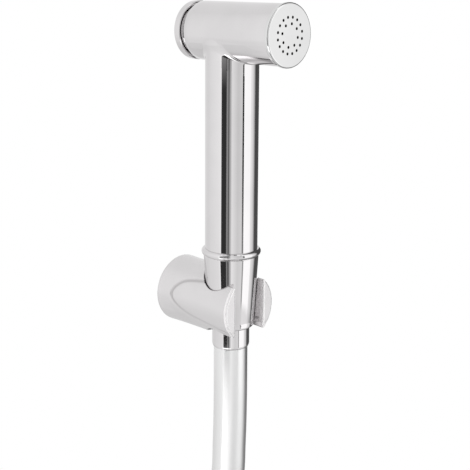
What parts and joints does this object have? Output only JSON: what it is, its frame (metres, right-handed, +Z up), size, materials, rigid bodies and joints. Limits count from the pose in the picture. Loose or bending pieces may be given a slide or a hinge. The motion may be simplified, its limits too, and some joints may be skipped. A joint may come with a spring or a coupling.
{
  "type": "handheld bidet shower",
  "caption": "Trigger handset with a round barrel head and perforated spray face, resting in a wall bracket, with its hose coiled below.",
  "frame": {"origin": "middle of the wall face, on the axis of the bracket's arm", "axes": "+Y into the wall, -Y the way the spray face looks, +Z up, +X to the right as the wall is faced"},
  "size_m": [0.1695, 0.0641, 0.4274],
  "materials": {
    "chrome": "polished chrome plate",
    "brass": "turned brass",
    "zinc": "satin zinc plate",
    "dark_steel": "blackened steel",
    "spring_steel": "drawn stainless wire",
    "rubber": "matt black rubber",
    "hose": "smooth silver plastic",
    "strap": "black woven strap"
  },
  "bodies": {
    "root": {"wall_bracket": "chrome", "mounting_plate": "zinc", "bracket_screw": "dark_steel", "handset_body": "chrome", "spray_face": "chrome", "face_seal": "rubber", "gland_bush": "brass", "gland_seal": "rubber", "return_spring": "spring_steel", "hose_cone_nut": "chrome", "hose_washer_upper": "rubber", "hose_tail_upper": "brass", "hose_ferrule_upper": "chrome", "hose_run": "hose", "hose_coil": "hose", "coil_tie": "strap", "hose_end_run": "hose", "hose_ferrule_lower": "chrome", "hose_tail_lower": "brass", "hose_washer_lower": "rubber"},
    "button": {"push_button": "chrome", "valve_spindle": "brass", "spindle_seal": "rubber", "valve_washer": "rubber", "valve_retainer": "brass"},
    "end_nut": {"hose_end_nut": "chrome"}
  },
  "joints": [
    {"name": "button_press", "type": "slide", "parent": "root", "child": "button", "axis": [0, -1, 0], "range_m": [0, 0.0012], "stiffness_N_per_m": 1500, "springref_m": -0.003, "deforming": ["return_spring"]},
    {"name": "end_nut_spin", "type": "hinge", "parent": "root", "child": "end_nut", "pos_m": [-0.069, -0.04893, -0.289], "axis": [0, 0, 1], "continuous": true}
  ]
}
